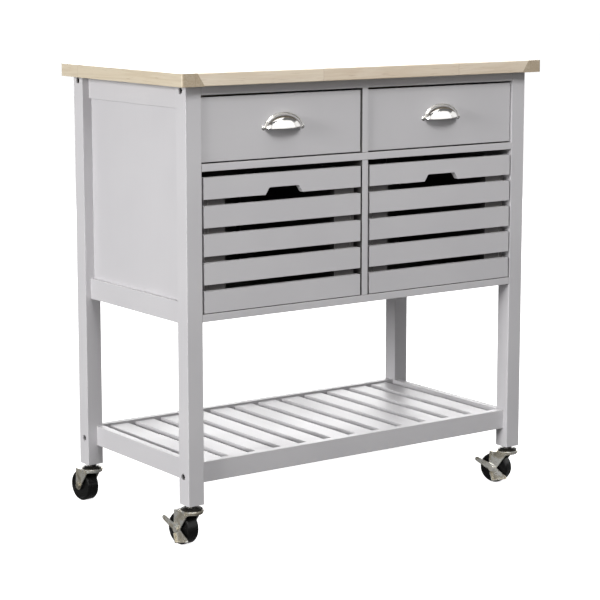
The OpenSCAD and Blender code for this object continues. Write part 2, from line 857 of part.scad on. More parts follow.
module crate_slats() {
    pitch = crate_slat_h + crate_slat_gap;
    color(PAINT) for (i = [0 : crate_slats - 1])
        translate([bay_x, front_y, crate_z + i * pitch]) difference() {
            translate([-crate_front_w / 2, 0, 0])
                cube([crate_front_w, crate_slat_t, crate_slat_h]);
            if (i == crate_slats - 1)
                translate([0, crate_slat_t + 1, 0]) rotate([90, 0, 0])
                    linear_extrude(crate_slat_t + 2) notch();
        }
}

module crate_posts() {
    h = crate_side_h - crate_bottom_t;
    color(PAINT) for (sx = [-1, 1], y0 = [crate_side_y, box_back_y - crate_side_t - post_t])
        translate([bay_x + sx * (crate_in_w - post_w) / 2 - post_w / 2, y0, crate_z + crate_bottom_t])
            cube([post_w, post_t, h]);
}

// The crate slides on the lower edges of its side boards
module crate_sides() {
    h = crate_z + crate_side_h - crate_foot_z;
    color(PAINT) for (x0 = [bay_x - crate_w / 2, bay_x + crate_w / 2 - crate_side_t])
        translate([x0, crate_side_y, crate_foot_z])
            cube([crate_side_t, box_back_y - crate_side_y, h]);
}

module crate_back() {
    color(PAINT) translate([bay_x - crate_in_w / 2, box_back_y - crate_side_t, crate_z])
        cube([crate_in_w, crate_side_t, crate_side_h]);
}

module crate_bottom() {
    color(PLY) translate([bay_x - crate_in_w / 2, crate_side_y, crate_z])
        cube([crate_in_w, box_back_y - crate_side_t - crate_side_y, crate_bottom_t]);
}

// ---------- casters, drawn with the stem on the Z axis ----------

// Threaded stem, upper raceway plate and kingpin with its riveted end, as one turned section
module caster_stem() {
    pin_end = crown_z - turn_gap - 2;
    rotate_extrude() polygon([
        [0, pin_end], [king_r + 2, pin_end], [king_r + 2, pin_end + 2],
        [king_r, pin_end + 2], [king_r, race_z],
        [race_r - 1, race_z], [race_r, race_z + 1.5], [race_r, race_z + 2.5],
        [race_r - 6, race_z + race_h - 1], [race_r - 7, race_z + race_h],
        [stem_r, race_z + race_h],
        [stem_r, caster_h + stem_l], [0, caster_h + stem_l]
    ]);
}

module caster_nut() {
    translate([0, 0, race_z + race_h]) difference() {
        cylinder(r = nut_r, h = nut_h, $fn = 6);
        translate([0, 0, -1]) cylinder(r = stem_r + hole_fit, h = nut_h + 2);
    }
}

module at_stems() {
    for (s = STEMS) translate([s[0] * (leg_x - leg_w / 2), s[1], 0]) children();
}

module caster_stems() {
    color(STEEL) at_stems() caster_stem();
}

module caster_nuts() {
    color(STEEL) at_stems() caster_nut();
}

// Side view of one fork cheek, as [y, z] from the stem's line: a round foot at the axle, a slope
// that widens upwards, and a hollow curve that runs forward under the crown
module cheek_outline() {
    difference() {
        union() {
            translate([trail, axle_z]) circle(hub_r);
            polygon([
                [bend_y, crown_z + 1], [fork_back, crown_z + 1], [trail + hub_r, axle_z],
                [trail - hub_r, axle_z],
                [bend_y + 0.82 * bend_r, bend_z + 0.573 * bend_r], [bend_y, bend_z]
            ]);
        }
        translate([bend_y, bend_z]) circle(bend_r);
    }
}

// The lower raceway ring with its two rolled edges, the plate over the wheel and the rear web
module crown() {
    half_w = cheek_x + fork_t;
    difference() {
        union() {
            translate([0, 0, crown_z]) rotate_extrude() polygon([
                [0, 0], [crown_r - 2, 0], [crown_r - 1, 1], [crown_r - 1, 2.5], [crown_r - 2, 3.2],
                [crown_r, 4], [crown_r, crown_h - 1], [crown_r - 1, crown_h], [0, crown_h]
            ]);
            translate([-half_w, 0, crown_z]) cube([2 * half_w, fork_back, crown_plate_t]);
        }
        translate([0, 0, crown_z - 1]) cylinder(r = king_r + run_fit, h = crown_h + 2);
        translate([0, 0, crown_z + crown_plate_t]) difference() {
            cylinder(r = crown_r - 5, h = crown_h);
            cylinder(r = crown_r - 11, h = crown_h);
        }
    }
}

module fork(braked) {
    head_x = braked ? lever_x + lever_t + turn_gap : cheek_x + fork_t;
    color(STEEL) {
        crown();
        for (x0 = [-cheek_x - fork_t, cheek_x])
            translate([x0, 0, 0]) rotate([90, 0, 90]) linear_extrude(fork_t) cheek_outline();
        x_rod(axle_r, -head_x - 1, head_x + cheek_x + fork_t + 2, trail, axle_z);
        x_rod(axle_r + 2, -head_x - axle_head_h, axle_head_h, trail, axle_z);
        x_rod(axle_r + 2, cheek_x + fork_t, axle_head_h, trail, axle_z);
    }
}

// Wheel with a crowned tread, a dished face and a hub
module wheel() {
    r = wheel_d / 2;
    half = wheel_w / 2;
    hub_half = half + hub_stand;
    face = half - wheel_dish;
    color(BLACK) translate([0, trail, axle_z]) rotate([0, 90, 0]) rotate_extrude($fn = 96) polygon([
        [axle_r + run_fit, -hub_half], [hub_r, -hub_half], [hub_r + 1, -face],
        [r - 7, -face], [r - 5.5, -half], [r - 2, -half], [r, -half + tread_edge],
        [r, half - tread_edge], [r - 2, half], [r - 5.5, half], [r - 7, face],
        [hub_r + 1, face], [hub_r, hub_half], [axle_r + run_fit, hub_half]
    ]);
}

// Side view of the brake lever about the axle, as [y, z]
module lever_outline() {
    tip = [pedal_reach - pedal_r, pedal_rise];
    difference() {
        union() {
            circle(hub_r);
            translate(tip) circle(pedal_r);
            polygon([
                [-3, hub_r - 0.6], tip + [-2, pedal_r - 0.5], tip + [2, -pedal_r + 0.5],
                [hub_r - 0.6, -3]
            ]);
            polygon([
                [hub_r - 0.6, -3], LEVER_HEEL, LEVER_SOLE, LEVER_TOE, LEVER_TOE + LEVER_TIP,
                [-hub_r + 1, 4]
            ]);
        }
        circle(axle_r + run_fit);
    }
}

// Unit direction into the lever's sheet, square to the edge from one corner to the next
function lever_inward(from, to) = [to[1] - from[1], from[0] - to[0]] / norm(to - from);

// Band along the lever's rear and lower edges, as wide as the sheet is thick
module lever_band() {
    in_rear = lever_inward(LEVER_HEEL, LEVER_SOLE);
    in_low = lever_inward(LEVER_SOLE, LEVER_TOE);
    polygon([
        LEVER_HEEL, LEVER_SOLE, LEVER_TOE,
        LEVER_TOE + LEVER_TIP * (lever_t / (LEVER_TIP * in_low)),
        LEVER_SOLE + (in_rear + in_low) * (lever_t / (1 + in_rear * in_low)),
        LEVER_HEEL + in_rear * lever_t
    ]);
}

// Sheet lever on the axle, with a lip down its rear edge and along its lower edge
module brake_lever() {
    color(STEEL) translate([-lever_x - lever_t, trail, axle_z]) {
        rotate([90, 0, 90]) linear_extrude(lever_t) lever_outline();
        translate([-lever_lip, 0, 0]) rotate([90, 0, 90]) linear_extrude(lever_lip + lever_t)
            lever_band();
    }
}

// Places a caster part at one corner, swivelled by turn degrees
module corner(sx, y, turn) {
    translate([sx * (leg_x - leg_w / 2), y, 0]) rotate([0, 0, turn]) children();
}

module front_left() {
    corner(-1, FRONT_STEM_Y, front_left_turn) children();
}

module front_right() {
    corner(1, FRONT_STEM_Y, front_right_turn) children();
}

module back_left() {
    corner(-1, BACK_STEM_Y, back_turn) children();
}

module back_right() {
    corner(1, BACK_STEM_Y, back_turn) children();
}

// ---------- nodes ----------

module left() {
    mirror([1, 0, 0]) children();
}

row() top_slab();
row() top_end_caps();
row() left() leg(true);  // leg_front_left
row() leg(true);  // leg_front_right
row() left() leg(false);  // leg_back_left
row() leg(false);  // leg_back_right
row() side_top_rails();
row() side_low_rails();
row() side_panels();
row() front_top_rail();
row() back_rails();
row() back_panel();
row() shelf_panel();
row() bottom_panel();
row() drawer_divider();
row() crate_divider();
row() drawer_runners();
row() crate_guides();
row() shelf_long_rails();
row() shelf_side_rails();
row() shelf_cleats();
row() shelf_slats();
row() barrel_bolts();
row() cross_dowels();
row() wood_dowels();
row() top_screws();
row() caster_stems();
row() caster_nuts();

row() left() drawer_front();  // drawer_left_front
row() left() drawer_sides();  // drawer_left_sides
row() left() drawer_back();  // drawer_left_back
row() left() drawer_bottom();  // drawer_left_bottom
row() left() drawer_pull();  // drawer_left_pull
row() left() drawer_pull_screws();  // drawer_left_pull_screws
row() drawer_front();  // drawer_right_front
row() drawer_sides();  // drawer_right_sides
row() drawer_back();  // drawer_right_back
row() drawer_bottom();  // drawer_right_bottom
row() drawer_pull();  // drawer_right_pull
row() drawer_pull_screws();  // drawer_right_pull_screws

row() left() crate_slats();  // crate_left_slats
row() left() crate_posts();  // crate_left_posts
row() left() crate_sides();  // crate_left_sides
row() left() crate_back();  // crate_left_back
row() left() crate_bottom();  // crate_left_bottom
row() crate_slats();  // crate_right_slats
row() crate_posts();  // crate_right_posts
row() crate_sides();  // crate_right_sides
row() crate_back();  // crate_right_back
row() crate_bottom();  // crate_right_bottom

row() front_left() fork(true);  // fork_front_left
row() front_right() fork(true);  // fork_front_right
row() back_left() fork(false);  // fork_back_left
row() back_right() fork(false);  // fork_back_right
row() front_left() wheel();  // wheel_front_left
row() front_right() wheel();  // wheel_front_right
row() back_left() wheel();  // wheel_back_left
row() back_right() wheel();  // wheel_back_right
row() front_left() brake_lever();  // brake_lever_left
row() front_right() brake_lever();  // brake_lever_right
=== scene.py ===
import json
import math

import bpy
import numpy as np
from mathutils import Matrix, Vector

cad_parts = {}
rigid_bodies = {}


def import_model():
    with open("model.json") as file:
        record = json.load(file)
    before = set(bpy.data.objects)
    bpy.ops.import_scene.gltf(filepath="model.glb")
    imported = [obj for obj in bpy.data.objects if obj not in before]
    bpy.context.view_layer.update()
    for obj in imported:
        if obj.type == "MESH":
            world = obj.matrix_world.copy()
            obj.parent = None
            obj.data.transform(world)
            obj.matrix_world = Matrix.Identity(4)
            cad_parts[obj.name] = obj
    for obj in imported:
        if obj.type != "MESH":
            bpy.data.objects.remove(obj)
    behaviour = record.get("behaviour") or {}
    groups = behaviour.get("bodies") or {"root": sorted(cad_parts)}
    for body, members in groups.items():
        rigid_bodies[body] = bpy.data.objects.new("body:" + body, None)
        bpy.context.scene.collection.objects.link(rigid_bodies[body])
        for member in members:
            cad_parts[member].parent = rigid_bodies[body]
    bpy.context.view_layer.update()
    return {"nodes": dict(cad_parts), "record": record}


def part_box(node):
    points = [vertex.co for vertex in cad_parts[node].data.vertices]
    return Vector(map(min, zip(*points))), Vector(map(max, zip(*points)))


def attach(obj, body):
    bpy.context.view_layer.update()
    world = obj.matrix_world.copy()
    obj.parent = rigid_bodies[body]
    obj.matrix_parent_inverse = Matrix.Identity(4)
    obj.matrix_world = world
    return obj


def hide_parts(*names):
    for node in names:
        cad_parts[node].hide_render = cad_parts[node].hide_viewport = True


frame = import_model()

MM = 0.001
BODY_OF = {}
SLOT_OF = {}
for body_name, members in frame["record"]["behaviour"]["bodies"].items():
    for member in members:
        BODY_OF[member] = body_name
for subpart in frame["record"]["subparts"]:
    SLOT_OF[subpart["node"]] = subpart["material_slot"]


# ---------------------------------------------------------------- shader sums


class Reading:
    """A socket in a finish that can be used in a sum."""

    def __init__(self, finish, socket):
        self.finish = finish
        self.socket = socket

    def __add__(self, other):
        return self.finish.sum("ADD", self, other)

    def __radd__(self, other):
        return self.finish.sum("ADD", other, self)

    def __sub__(self, other):
        return self.finish.sum("SUBTRACT", self, other)

    def __rsub__(self, other):
        return self.finish.sum("SUBTRACT", other, self)

    def __mul__(self, other):
        return self.finish.sum("MULTIPLY", self, other)

    def __truediv__(self, other):
        return self.finish.sum("DIVIDE", self, other)

    def floor(self):
        return self.finish.sum("FLOOR", self)

    def fract(self):
        return self.finish.sum("FRACT", self)

    def absolute(self):
        return self.finish.sum("ABSOLUTE", self)

    def sine(self):
        return self.finish.sum("SINE", self)

    def ramp(self, low, high, start=0.0, end=1.0):
        """From start at low to end at high, smoothly, and flat outside."""
        return self.finish.node(
            "ShaderNodeMapRange",
            {"interpolation_type": "SMOOTHSTEP", "clamp": True},
            {"Value": self, "From Min": low, "From Max": high, "To Min": start, "To Max": end},
        )


class Finish:
    """A material with one shader, whose nodes are added one statement at a time."""

    def __init__(self, name):
        self.material = bpy.data.materials.new(name)
        self.material.use_nodes = True
        self.tree = self.material.node_tree
        self.tree.nodes.clear()
        self.place = self.node("ShaderNodeTexCoord", output="Object")
        self.x, self.y, self.z = self.split(self.place)

    def node(self, kind, settings=None, inputs=None, output=0):
        made = self.tree.nodes.new(kind)
        for name, value in (settings or {}).items():
            if name == "stops":
                self.set_stops(made.color_ramp, value)
            else:
                setattr(made, name, value)
        for name, value in (inputs or {}).items():
            if isinstance(value, Reading):
                self.tree.links.new(value.socket, made.inputs[name])
            else:
                made.inputs[name].default_value = value
        return Reading(self, made.outputs[output]) if made.outputs else None

    def set_stops(self, ramp, stops):
        while len(ramp.elements) < len(stops):
            ramp.elements.new(1.0)
        for element, (place, colour) in zip(ramp.elements, stops):
            element.position = place
            element.color = (*colour, 1.0)

    def sum(self, operation, first, second=None):
        inputs = {0: first}
        if second is not None:
            inputs[1] = second
        return self.node("ShaderNodeMath", {"operation": operation}, inputs)

    def split(self, vector):
        made = self.tree.nodes.new("ShaderNodeSeparateXYZ")
        self.tree.links.new(vector.socket, made.inputs[0])
        return [Reading(self, socket) for socket in made.outputs]

    def join(self, x, y, z):
        return self.node("ShaderNodeCombineXYZ", None, {0: x, 1: y, 2: z})

    def stretch(self, vector, scale):
        return self.node(
            "ShaderNodeVectorMath", {"operation": "MULTIPLY"}, {0: vector, 1: scale}
        )

    def shift(self, vector, step):
        return self.node("ShaderNodeVectorMath", {"operation": "ADD"}, {0: vector, 1: step})

    def noise(self, vector, scale, detail=2.0, roughness=0.5, distortion=0.0):
        return self.node(
            "ShaderNodeTexNoise",
            None,
            {
                "Vector": vector,
                "Scale": scale,
                "Detail": detail,
                "Roughness": roughness,
                "Distortion": distortion,
            },
        )

    def chance(self, vector):
        return self.node("ShaderNodeTexWhiteNoise", {"noise_dimensions": "3D"}, {"Vector": vector})

    def mark(self, name, output="Fac"):
        """What the named mark on the piece's mesh says."""
        return self.node("ShaderNodeAttribute", {"attribute_name": name}, None, output)

    def colour(self, factor, first, second, blend="MIX"):
        """A colour between two, or of two blended."""
        inputs = {0: factor}
        for place, value in ((6, first), (7, second)):
            inputs[place] = value if isinstance(value, Reading) else (*value, 1.0)
        return self.node(
            "ShaderNodeMix", {"data_type": "RGBA", "blend_type": blend}, inputs, output=2
        )

    def graded(self, factor, stops):
        return self.node("ShaderNodeValToRGB", {"stops": stops}, {"Fac": factor})

    def relief(self, height, depth, strength):
        inputs = {"Height": height, "Distance": depth, "Strength": strength}
        return self.node("ShaderNodeBump", None, inputs)

    def shade(self, **sockets):
        """The shader itself. Names of sockets are given with _ for a space."""
        inputs = {}
        for name, value in sockets.items():
            if isinstance(value, tuple):
                value = (*value, 1.0)
            inputs[name.replace("_", " ")] = value
        shader = self.node("ShaderNodeBsdfPrincipled", None, inputs)
        self.node("ShaderNodeOutputMaterial", None, {"Surface": shader})
        return self.material


# ------------------------------------------------------------------ finishes

# How much painted shade darkens the faces that are out of the light
PAINTED_SHADE_AMOUNT = 0.9
# How much painted shade darkens the caster stems, standing in for the shade under the legs
STEM_PAINTED_SHADE = 0.93
# Width of a worktop stave, its length in the slab and in an end cap
STAVE_W = 0.046
STAVE_L = 0.34
CAP_STAVE_L = 1.5
# Where a glue line starts to fade and where it has gone, from its middle
SEAM_CORE = 0.00015
SEAM_EDGE = 0.0006


def grey_paint():
    """Light grey satin paint on wood: the grain shows through faintly, edges are rubbed, and faces
    out of the light get painted shade.
    """
    f = Finish("grey_paint")
    tone = f.mark("tone")
    jump = f.join(tone * 7, tone * 5, tone * 3)
    along = f.shift(f.stretch(f.place, f.mark("grain", "Vector")), jump)
    grain = f.noise(along, 1.0, 4.0, 0.6)
    cloud = f.noise(f.place, 5.0, 3.0, 0.55)
    stipple = f.noise(f.place, 900.0, 2.0, 0.5)
    thin = f.mark("rub") * f.noise(f.place, 60.0, 3.0, 0.6).ramp(0.42, 0.62)
    depth = tone * 0.35 + cloud.ramp(0.3, 0.7) * 0.4 + grain * 0.25
    painted = f.colour(depth, (0.560, 0.549, 0.566), (0.606, 0.594, 0.606))
    # Faces out of the light are mixed towards near black: painted shade
    body = f.colour(f.mark("inner") * PAINTED_SHADE_AMOUNT, painted, (0.030, 0.026, 0.022))
    worn = f.colour(thin * 0.35, body, (0.70, 0.68, 0.64))
    height = grain * 0.6 + stipple * 0.25
    return f.shade(
        Base_Color=worn,
        Roughness=cloud.ramp(0.3, 0.75, 0.36, 0.48) + stipple * 0.05,
        Specular_IOR_Level=0.42,
        Normal=f.relief(height, 0.00035, 0.5),
    )


def stave_pattern(f, width, length, row, run):
    """A chance number for the stave a point is in, and how much of a glue line is there."""
    course = (row / width).floor()
    course_chance = f.chance(f.join(course, 4.0, 9.0))
    step = run / length + course_chance * 6.0
    stave = step.floor()
    chance = f.chance(f.join(course, stave, 2.0))
    across = 0.5 - ((row / width).fract() - 0.5).absolute()
    lengthways = 0.5 - (step.fract() - 0.5).absolute()
    seam_long = (across * width).ramp(SEAM_CORE, SEAM_EDGE, 1.0, 0.0)
    seam_butt = (lengthways * length).ramp(SEAM_CORE, SEAM_EDGE, 1.0, 0.0)
    return chance, f.sum("MAXIMUM", seam_long, seam_butt)


def light_hardwood(name, run_axis, warm):
    """Lacquered light hardwood in glued staves that run along run_axis."""
    f = Finish(name)
    in_slab = run_axis == "x"
    run, row = (f.x, f.y) if in_slab else (f.y, f.x)
    chance, seam = stave_pattern(f, STAVE_W, STAVE_L if in_slab else CAP_STAVE_L, row, run)
    jump = f.join(chance * 31.0, chance * 17.0, chance * 23.0)

    def drawn_out(along, across):
        scale = (along, across, across) if in_slab else (across, along, across)
        return f.shift(f.stretch(f.place, scale), jump)

    figure = f.noise(drawn_out(2.2, 34.0), 1.0, 3.0, 0.55, 0.6)
    rings = ((figure * 38.0).sine() * 0.5 + 0.5).ramp(0.1, 1.0)
    pores = f.noise(drawn_out(24.0, 520.0), 1.0, 2.0, 0.6).ramp(0.6, 0.72)
    fibre = f.noise(drawn_out(9.0, 190.0), 1.0, 3.0, 0.6)
    stave = f.graded(
        chance,
        [
            (0.0, (0.73, 0.615, 0.475)),
            (0.35, (0.80, 0.695, 0.55)),
            (0.7, (0.76, 0.65, 0.505)),
            (1.0, (0.83, 0.735, 0.60)),
        ],
    )
    ringed = f.colour(rings * 0.30, stave, (0.60, 0.475, 0.335))
    fibred = f.colour(fibre.ramp(0.35, 0.75) * 0.35, ringed, (0.86, 0.78, 0.66))
    pored = f.colour(pores * 0.35, fibred, (0.42, 0.29, 0.17))
    end = f.mark("end")
    end_figure = f.noise(f.stretch(f.place, (60.0, 4.0, 130.0)), 1.0, 2.0, 0.5)
    end_rings = (end_figure * 60.0).sine() * 0.5 + 0.5
    ended = f.colour(end * (0.45 + end_rings * 0.25), pored, (0.42, 0.32, 0.22))
    glued = f.colour(seam * 0.6, ended, (0.36, 0.24, 0.14))
    warmed = f.colour(1.0, glued, warm, "MULTIPLY")
    height = fibre * 0.5 - pores * 0.8 - seam * 0.8
    return f.shade(
        Base_Color=warmed,
        Roughness=fibre.ramp(0.2, 0.8, 0.30, 0.42) + pores * 0.15,
        Specular_IOR_Level=0.45,
        Coat_Weight=0.25,
        Coat_Roughness=0.22,
        Normal=f.relief(height, 0.0003, 0.45),
    )


def raw_wood():
    """Clear lacquered birch plywood and pine for what is inside; faces out of the light get painted
    shade.
    """
    f = Finish("raw_wood")
    tone = f.mark("tone")
    jump = f.join(tone * 9, tone * 5, tone * 13)
    along = f.shift(f.stretch(f.place, f.mark("grain", "Vector")), jump)
    figure = f.noise(along, 0.8, 4.0, 0.6, 0.4)
    rings = (figure * 30.0).sine() * 0.5 + 0.5
    fibre = f.noise(along, 6.0, 3.0, 0.6)
    clear = f.colour(tone, (0.60, 0.48, 0.33), (0.66, 0.55, 0.40))
    # Faces out of the light are mixed towards near black: painted shade
    board = f.colour(f.mark("inner") * PAINTED_SHADE_AMOUNT, clear, (0.050, 0.038, 0.026))
    ringed = f.colour(rings * 0.28, board, (0.56, 0.40, 0.235))
    fibred = f.colour(fibre.ramp(0.4, 0.75) * 0.3, ringed, (0.83, 0.73, 0.56))
    worn = f.colour(f.mark("rub") * 0.3, fibred, (0.50, 0.37, 0.24))
    return f.shade(
        Base_Color=worn,
        Roughness=fibre.ramp(0.2, 0.8, 0.42, 0.6),
        Specular_IOR_Level=0.4,
        Normal=f.relief(fibre + rings * 0.3, 0.0003, 0.4),
    )


def polished_nickel():
    """Polished nickel plate with faint smears."""
    f = Finish("polished_nickel")
    smear = f.noise(f.stretch(f.place, (40.0, 40.0, 160.0)), 1.0, 3.0, 0.6)
    speck = f.noise(f.place, 1400.0, 1.0, 0.5)
    body = f.colour(smear, (0.70, 0.685, 0.66), (0.78, 0.77, 0.75))
    return f.shade(
        Base_Color=body,
        Metallic=1.0,
        Roughness=smear.ramp(0.3, 0.8, 0.09, 0.17),
        Normal=f.relief(speck, 0.00002, 0.3),
    )


def zinc_steel():
    """Bright zinc on pressed steel: warm and bluish patches, faint drawing lines, and painted shade
    on the caster stems.
    """
    f = Finish("zinc_steel")
    patch = f.noise(f.place, 55.0, 3.0, 0.6, 0.5)
    lines = f.noise(f.stretch(f.place, (300.0, 300.0, 2400.0)), 1.0, 2.0, 0.6)
    body = f.graded(
        patch,
        [
            (0.30, (0.40, 0.37, 0.30)),
            (0.45, (0.66, 0.61, 0.50)),
            (0.58, (0.72, 0.72, 0.69)),
            (0.72, (0.50, 0.45, 0.34)),
        ],
    )
    scuffed = f.colour(lines.ramp(0.45, 0.8) * 0.25, body, (0.35, 0.34, 0.31))
    # The caster stems are mixed towards near black: painted shade under the legs
    with_painted_shade = f.colour(f.mark("grime") * STEM_PAINTED_SHADE, scuffed, (0.020, 0.018, 0.016))
    return f.shade(
        Base_Color=with_painted_shade,
        Metallic=0.80,
        Roughness=patch.ramp(0.3, 0.8, 0.18, 0.32) + lines * 0.06,
        Normal=f.relief(patch * 0.6 + lines * 0.3, 0.0001, 0.4),
    )


def dark_steel():
    """Blackened steel, a little uneven."""
    f = Finish("dark_steel")
    patch = f.noise(f.place, 240.0, 3.0, 0.6)
    body = f.colour(patch, (0.055, 0.052, 0.05), (0.12, 0.115, 0.11))
    return f.shade(
        Base_Color=body,
        Metallic=0.9,
        Roughness=patch.ramp(0.3, 0.8, 0.34, 0.5),
        Normal=f.relief(patch, 0.0001, 0.4),
    )


def brass():
    """Plain turned brass."""
    f = Finish("brass")
    patch = f.noise(f.place, 200.0, 3.0, 0.6)
    body = f.colour(patch, (0.60, 0.44, 0.19), (0.74, 0.58, 0.30))
    return f.shade(
        Base_Color=body,
        Metallic=1.0,
        Roughness=patch.ramp(0.3, 0.8, 0.25, 0.4),
        Normal=f.relief(patch, 0.0001, 0.4),
    )


def black_nylon():
    """Glossy black moulded nylon with a little dust."""
    f = Finish("black_nylon")
    cloud = f.noise(f.place, 70.0, 4.0, 0.6)
    grit = f.noise(f.place, 900.0, 3.0, 0.6)
    dust = grit.ramp(0.62, 0.78) * cloud.ramp(0.45, 0.65)
    body = f.colour(cloud, (0.004, 0.004, 0.004), (0.008, 0.008, 0.008))
    dusty = f.colour(dust * 0.12, body, (0.16, 0.15, 0.14))
    return f.shade(
        Base_Color=dusty,
        Roughness=cloud.ramp(0.3, 0.75, 0.20, 0.32) + dust * 0.2,
        Specular_IOR_Level=0.22,
        Normal=f.relief(grit, 0.00006, 0.25),
    )


def floor_paper():
    """White paper, lit so that it stays white."""
    f = Finish("floor_paper")
    cloud = f.noise(f.place, 1.5, 3.0, 0.5)
    body = f.colour(cloud, (0.86, 0.86, 0.86), (0.88, 0.88, 0.88))
    return f.shade(
        Base_Color=body,
        Roughness=0.9,
        Specular_IOR_Level=0.1,
        Emission_Color=body,
        Emission_Strength=1.0,
    )


def white_card(name, low, high):
    """White card lit from behind, a little uneven."""
    f = Finish(name)
    cloud = f.noise(f.place, 0.4, 2.0, 0.5)
    glow = f.colour(cloud, (low, low, low), (high, high, high))
    return f.shade(
        Base_Color=(0.0, 0.0, 0.0),
        Roughness=0.9,
        Emission_Color=glow,
        Emission_Strength=1.0,
    )


FINISHES = {
    "block_wood": light_hardwood("block_wood", "x", (1.0, 1.0, 1.0)),
    "end_cap_wood": light_hardwood("end_cap_wood", "y", (0.78, 0.775, 0.73)),
    "grey_paint": grey_paint(),
    "raw_wood": raw_wood(),
    "nickel": polished_nickel(),
    "zinc_steel": zinc_steel(),
    "dark_steel": dark_steel(),
    "brass": brass(),
    "black_wheel": black_nylon(),
}

# ----------------------------------------------------------- modelling steps


def put_down():
    if bpy.context.mode != "OBJECT":
        bpy.ops.object.mode_set(mode="OBJECT")
    for thing in bpy.context.view_layer.objects:
        thing.select_set(False)


def take_up(piece):
    put_down()
    piece.select_set(True)
    bpy.context.view_layer.objects.active = piece


def open_mesh(piece):
    take_up(piece)
    bpy.ops.object.mode_set(mode="EDIT")
    bpy.ops.mesh.select_mode(type="EDGE")


def close_mesh():
    bpy.ops.object.mode_set(mode="OBJECT")


MERGE_WITHIN = 0.01 * MM
FLAT_WITHIN = math.radians(0.5)


def copy_of(node, name):
    """A merged copy of a CAD node's mesh, with its flat faces in one piece each."""
    piece = bpy.data.objects.new(name, frame["nodes"][node].data.copy())
    bpy.context.scene.collection.objects.link(piece)
    piece.data.materials.clear()
    take_up(piece)
    bpy.ops.mesh.customdata_custom_splitnormals_clear()
    open_mesh(piece)
    bpy.ops.mesh.select_all(action="SELECT")
    bpy.ops.mesh.remove_doubles(threshold=MERGE_WITHIN)
    bpy.ops.mesh.dissolve_limited(angle_limit=FLAT_WITHIN)
    close_mesh()
    return piece


def corners_of(mesh):
    places = np.zeros(len(mesh.vertices) * 3, np.float32)
    mesh.vertices.foreach_get("co", places)
    return places.reshape(-1, 3).astype(float)


def edge_ends(mesh):
    ends = np.zeros(len(mesh.edges) * 2, np.int32)
    mesh.edges.foreach_get("vertices", ends)
    return ends.reshape(-1, 2)


def face_pairs(mesh):
    """For each edge, the normals of its first two faces."""
    pairs = [[] for _ in mesh.edges]
    for face in mesh.polygons:
        for loop in face.loop_indices:
            pairs[mesh.loops[loop].edge_index].append(face.normal)
    return pairs


SHARP_EDGE = math.radians(30)


def soften(piece, radius, shortest=8 * MM, only=None, segments=2):
    """Rounds the long sharp edges of a piece; only(middle, direction) may pick among them."""
    mesh = piece.data
    places = corners_of(mesh)
    weights = []
    for edge, normals in zip(edge_ends(mesh), face_pairs(mesh)):
        first, second = Vector(places[edge[0]]), Vector(places[edge[1]])
        line = second - first
        picked = len(normals) == 2 and line.length > shortest
        picked = picked and normals[0].angle(normals[1], 0) > SHARP_EDGE
        if picked and only is not None:
            picked = only((first + second) / 2, line.normalized())
        weights.append(1.0 if picked else 0.0)
    given = mesh.attributes.new("bevel_weight_edge", "FLOAT", "EDGE")
    given.data.foreach_set("value", weights)
    rounding = piece.modifiers.new("rounding", "BEVEL")
    rounding.limit_method = "WEIGHT"
    rounding.width = radius
    rounding.segments = segments
    rounding.use_clamp_overlap = True
    rounding.harden_normals = False
    take_up(piece)
    bpy.ops.object.modifier_apply(modifier="rounding")


def islands(mesh):
    """A number for each vertex, the same for all that hang together."""
    ends = edge_ends(mesh)
    label = np.arange(len(mesh.vertices))
    while True:
        lower = np.minimum(label[ends[:, 0]], label[ends[:, 1]])
        fresh = label.copy()
        np.minimum.at(fresh, ends[:, 0], lower)
        np.minimum.at(fresh, ends[:, 1], lower)
        if (fresh == label).all():
            return label
        label = fresh


# Crate faces behind the back of the front slats are out of the light and get painted shade
CRATE_DARK_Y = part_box("crate_left_slats")[1][1] - 0.5 * MM
CRATE_MIDDLE = {}
for crate_side in ("left", "right"):
    crate_low, crate_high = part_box(f"crate_{crate_side}_sides")
    CRATE_MIDDLE[crate_side] = [(a + b) / 2 for a, b in zip(crate_low, crate_high)]
# The grain's stretch along a board and across it
GRAIN_LONG = 5.0
GRAIN_ACROSS = 95.0


# A face's normal is mostly along an axis above this
MOSTLY = 0.5
# Picks each board's tone from the place of its middle
TONE_WAVE = np.array([127.1, 311.7, 74.7])
TONE_SCALE = 43758.5


def gets_painted_shade(piece, face):
    """Whether a face gets painted shade for being out of the light: inside a crate, or the side of a
    narrow gap.
    """
    name = piece.name
    if name.startswith("crate_left_") or name.startswith("crate_right_"):
        inward = Vector(CRATE_MIDDLE[name.split("_")[1]]) - face.center
        shaded = name.endswith("_posts_board") or face.normal.y < -MOSTLY
        shaded = shaded or face.normal.dot(inward) > 0
        return shaded and face.center.y > CRATE_DARK_Y
    across = abs(face.normal.y) < MOSTLY
    if name in ("drawer_divider_board", "crate_divider_board", "shelf_panel_board"):
        return across
    if name == "bottom_panel_board":
        return face.normal.z > MOSTLY
    if name == "front_top_rail_board":
        return face.normal.z < -MOSTLY
    return False


